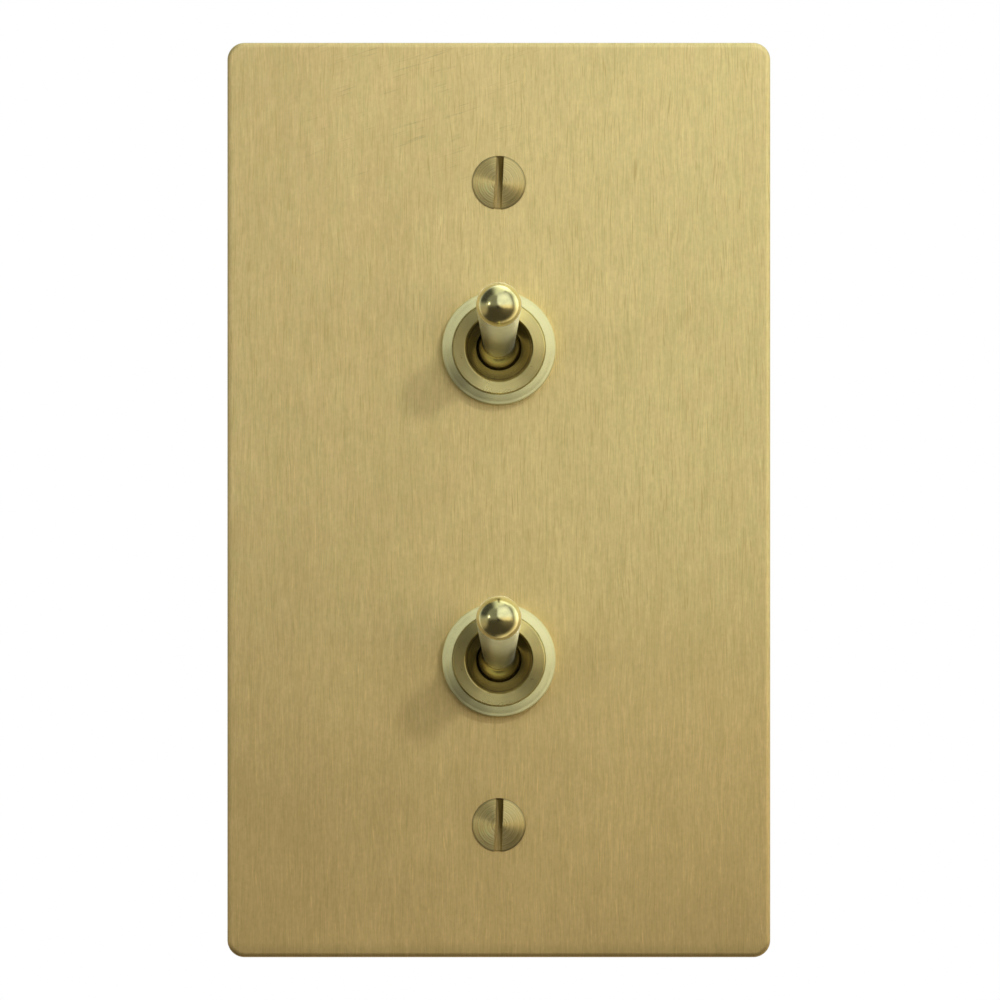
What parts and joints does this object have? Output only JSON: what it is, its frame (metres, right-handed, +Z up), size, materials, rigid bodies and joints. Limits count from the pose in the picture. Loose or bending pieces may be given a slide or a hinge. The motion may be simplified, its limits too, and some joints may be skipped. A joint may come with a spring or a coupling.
{
  "type": "toggle wall switch",
  "caption": "Upright brushed brass wall plate with bat-lever toggles one above the other, dress collars, oval-head slotted screws and the switch bodies behind.",
  "frame": {"origin": "midway between the two box screws, in the plane of the plate's wall face", "axes": "+X to the right seen from the front, +Y into the wall, +Z up; the levers stand out towards -Y and lean up at rest"},
  "size_m": [0.0704, 0.0492, 0.1186],
  "materials": {
    "plate_brass": "satin, fine upright brushing",
    "screw_brass": "turned",
    "collar_brass": "satin",
    "bush_brass": "satin face, polished cup",
    "lever_brass": "polished tip, satin shank",
    "nut_brass": "machined",
    "contact_brass": "stamped",
    "steel": "zinc plated",
    "zinc_steel": "zinc plated, folded sheet",
    "silver": "silver contact",
    "phenolic": "moulded phenolic",
    "green_screw": "green dyed"
  },
  "bodies": {
    "plate": {"faceplate": "plate_brass", "plate_screws": "screw_brass", "ground_screw": "green_screw", "ground_washer": "steel", "ground_tag": "contact_brass", "upper_collar": "collar_brass", "upper_bush": "bush_brass", "upper_pivot_pin": "steel", "upper_lock_washer": "steel", "upper_back_nut": "nut_brass", "upper_bracket": "zinc_steel", "upper_case": "phenolic", "upper_common_terminal": "contact_brass", "upper_traveller_terminals": "contact_brass", "upper_fixed_contacts": "silver", "upper_terminal_screws": "screw_brass", "lower_collar": "collar_brass", "lower_bush": "bush_brass", "lower_pivot_pin": "steel", "lower_lock_washer": "steel", "lower_back_nut": "nut_brass", "lower_bracket": "zinc_steel", "lower_case": "phenolic", "lower_common_terminal": "contact_brass", "lower_traveller_terminals": "contact_brass", "lower_fixed_contacts": "silver", "lower_terminal_screws": "screw_brass"},
    "upper_lever_body": {"upper_lever": "lever_brass", "upper_plunger_spring": "steel"},
    "upper_plunger_body": {"upper_plunger": "steel"},
    "upper_rocker_body": {"upper_rocker": "contact_brass", "upper_moving_contacts": "silver"},
    "lower_lever_body": {"lower_lever": "lever_brass", "lower_plunger_spring": "steel"},
    "lower_plunger_body": {"lower_plunger": "steel"},
    "lower_rocker_body": {"lower_rocker": "contact_brass", "lower_moving_contacts": "silver"}
  },
  "joints": [
    {"name": "upper_lever_throw", "type": "hinge", "parent": "plate", "child": "upper_lever_body", "pos_m": [0, -0.0009, 0.02022], "axis": [1, 0, 0], "range_deg": [0, 32]},
    {"name": "upper_plunger_slide", "type": "slide", "parent": "upper_lever_body", "child": "upper_plunger_body", "axis": [0, 0.9613, -0.2756], "range_m": [-0.0008, 0], "stiffness_N_per_m": 400, "springref_m": 0.002, "deforming": ["upper_plunger_spring"]},
    {"name": "upper_rocker_tilt", "type": "hinge", "parent": "plate", "child": "upper_rocker_body", "pos_m": [0, 0.0155, 0.02022], "axis": [1, 0, 0], "range_deg": [-16, 0]},
    {"name": "lower_lever_throw", "type": "hinge", "parent": "plate", "child": "lower_lever_body", "pos_m": [0, -0.0009, -0.02022], "axis": [1, 0, 0], "range_deg": [0, 32]},
    {"name": "lower_plunger_slide", "type": "slide", "parent": "lower_lever_body", "child": "lower_plunger_body", "axis": [0, 0.9613, -0.2756], "range_m": [-0.0008, 0], "stiffness_N_per_m": 400, "springref_m": 0.002, "deforming": ["lower_plunger_spring"]},
    {"name": "lower_rocker_tilt", "type": "hinge", "parent": "plate", "child": "lower_rocker_body", "pos_m": [0, 0.0155, -0.02022], "axis": [1, 0, 0], "range_deg": [-16, 0]}
  ],
  "couplings": [
    {"joint": "upper_rocker_tilt", "follows": "upper_lever_throw", "ratio": -0.5},
    {"joint": "lower_rocker_tilt", "follows": "lower_lever_throw", "ratio": -0.5}
  ]
}
